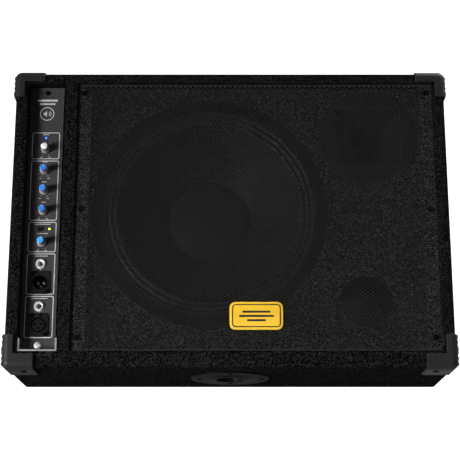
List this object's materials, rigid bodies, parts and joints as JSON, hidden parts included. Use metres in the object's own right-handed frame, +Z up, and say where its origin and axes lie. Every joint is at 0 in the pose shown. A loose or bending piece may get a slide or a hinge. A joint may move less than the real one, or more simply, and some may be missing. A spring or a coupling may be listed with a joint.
{
  "type": "stage monitor wedge",
  "caption": "Active floor monitor: a carpeted wedge cabinet with woofer, horn and port behind a perforated grille, a recessed control panel and a pole socket.",
  "frame": {"origin": "on the floor, under the centre of the object's outer box", "axes": "+Z up, -Y towards the listener (the slanted front faces -Y and up), +X to the right as the listener sees it"},
  "size_m": [0.5792, 0.4356, 0.3799],
  "materials": {
    "plywood": "bare birch plywood, hidden under the carpet",
    "battens": "softwood strips painted matte black",
    "carpet": "black needle-punch cabinet carpet with paler fibres",
    "wadding": "white polyester wadding",
    "guard_plastic": "satin dark grey moulded plastic",
    "handle_plastic": "black moulded plastic",
    "foot_rubber": "black rubber",
    "socket_metal": "dark grey powder coat",
    "port_plastic": "black moulded plastic",
    "grille_paint": "perforated steel, matte black powder coat",
    "badge_yellow": "yellow plastic plate with a dark inset line",
    "black_screw": "black zinc",
    "bright_zinc": "bright zinc plate",
    "frame_steel": "black pressed steel",
    "gasket_foam": "black foam",
    "surround_cloth": "doped black cloth",
    "cone_paper": "black pressed paper",
    "coil_copper": "enamelled copper on a former",
    "spider_cloth": "resin-stiffened tan cloth",
    "motor_steel": "zinc-plated steel",
    "ferrite": "dark grey ferrite",
    "panel_paint": "matte black with pale printed lines",
    "tray_zinc": "galvanised sheet steel",
    "knob_grey": "grey moulded plastic",
    "cap_white": "pale grey plastic cap",
    "cap_blue": "blue plastic cap",
    "cap_light_blue": "lighter blue plastic cap",
    "jack_plastic": "black body with a bright ring nut",
    "xlr_shell": "black moulded connector",
    "button_plastic": "black plastic",
    "led_lens": "clear coloured lenses",
    "circuit_board": "green circuit board with parts",
    "rear_paint": "matte black sheet steel",
    "rocker_red": "red translucent rocker",
    "lead_sleeve": "red cable sleeve"
  },
  "bodies": {
    "cabinet": {"side_panel_left": "plywood", "side_panel_right": "plywood", "top_panel": "plywood", "socket_panel": "plywood", "floor_panel": "plywood", "back_panel": "plywood", "amp_partition": "plywood", "baffle_board": "plywood", "baffle_battens": "battens", "carpet_cover": "carpet", "baffle_carpet": "carpet", "wadding": "wadding", "handle_dish": "handle_plastic", "handle_grip": "handle_plastic", "corner_protectors": "guard_plastic", "cabinet_screws": "black_screw", "rubber_feet": "foot_rubber", "pole_socket": "socket_metal", "port_tube": "port_plastic", "grille": "grille_paint", "badge": "badge_yellow", "baffle_screws": "black_screw", "woofer_frame": "frame_steel", "woofer_gasket": "gasket_foam", "woofer_surround": "surround_cloth", "woofer_spider": "spider_cloth", "woofer_top_plate": "motor_steel", "woofer_magnet": "ferrite", "woofer_yoke": "motor_steel", "horn": "port_plastic", "compression_driver": "frame_steel", "control_panel": "panel_paint", "panel_screws": "black_screw", "panel_end_screw": "bright_zinc", "panel_bracket": "bright_zinc", "amp_tray": "tray_zinc", "control_board": "circuit_board", "jack_sockets": "jack_plastic", "xlr_output": "xlr_shell", "xlr_input": "xlr_shell", "leds": "led_lens", "amp_board": "circuit_board", "rear_plate": "rear_paint", "mains_inlet": "xlr_shell", "speaker_leads": "lead_sleeve"},
    "level_control": {"level_knob": "knob_grey", "level_cap": "cap_white"},
    "high_control": {"high_knob": "knob_grey", "high_cap": "cap_blue"},
    "mid_control": {"mid_knob": "knob_grey", "mid_cap": "cap_blue"},
    "low_control": {"low_knob": "knob_grey", "low_cap": "cap_blue"},
    "filter_control": {"filter_knob": "knob_grey", "filter_cap": "cap_light_blue"},
    "cone_assembly": {"woofer_cone": "cone_paper", "dust_cap": "cone_paper", "voice_coil": "coil_copper"},
    "filter_switch": {"filter_button": "button_plastic"},
    "power_switch": {"power_rocker": "rocker_red"}
  },
  "joints": [
    {"name": "level_turn", "type": "hinge", "parent": "cabinet", "child": "level_control", "pos_m": [-0.2447, 0.03228, 0.30777], "axis": [0, -0.5736, 0.8192], "range_deg": [-150, 150]},
    {"name": "high_turn", "type": "hinge", "parent": "cabinet", "child": "high_control", "pos_m": [-0.2447, 0.00811, 0.29085], "axis": [0, -0.5736, 0.8192], "range_deg": [-150, 150]},
    {"name": "mid_turn", "type": "hinge", "parent": "cabinet", "child": "mid_control", "pos_m": [-0.2447, -0.01466, 0.27491], "axis": [0, -0.5736, 0.8192], "range_deg": [-150, 150]},
    {"name": "low_turn", "type": "hinge", "parent": "cabinet", "child": "low_control", "pos_m": [-0.2447, -0.03743, 0.25896], "axis": [0, -0.5736, 0.8192], "range_deg": [-150, 150]},
    {"name": "filter_turn", "type": "hinge", "parent": "cabinet", "child": "filter_control", "pos_m": [-0.2447, -0.07257, 0.23435], "axis": [0, -0.5736, 0.8192], "range_deg": [-150, 150]},
    {"name": "cone_travel", "type": "slide", "parent": "cabinet", "child": "cone_assembly", "axis": [0, -0.5736, 0.8192], "range_m": [-0.004, 0.004], "stiffness_N_per_m": 1500, "deforming": ["woofer_surround", "woofer_spider"]},
    {"name": "filter_press", "type": "slide", "parent": "cabinet", "child": "filter_switch", "axis": [0, 0.5736, -0.8192], "range_m": [0, 0.0025]},
    {"name": "power_rock", "type": "hinge", "parent": "cabinet", "child": "power_switch", "pos_m": [-0.2435, 0.21298, 0.142], "axis": [1, 0, 0], "range_deg": [0, 20]}
  ]
}
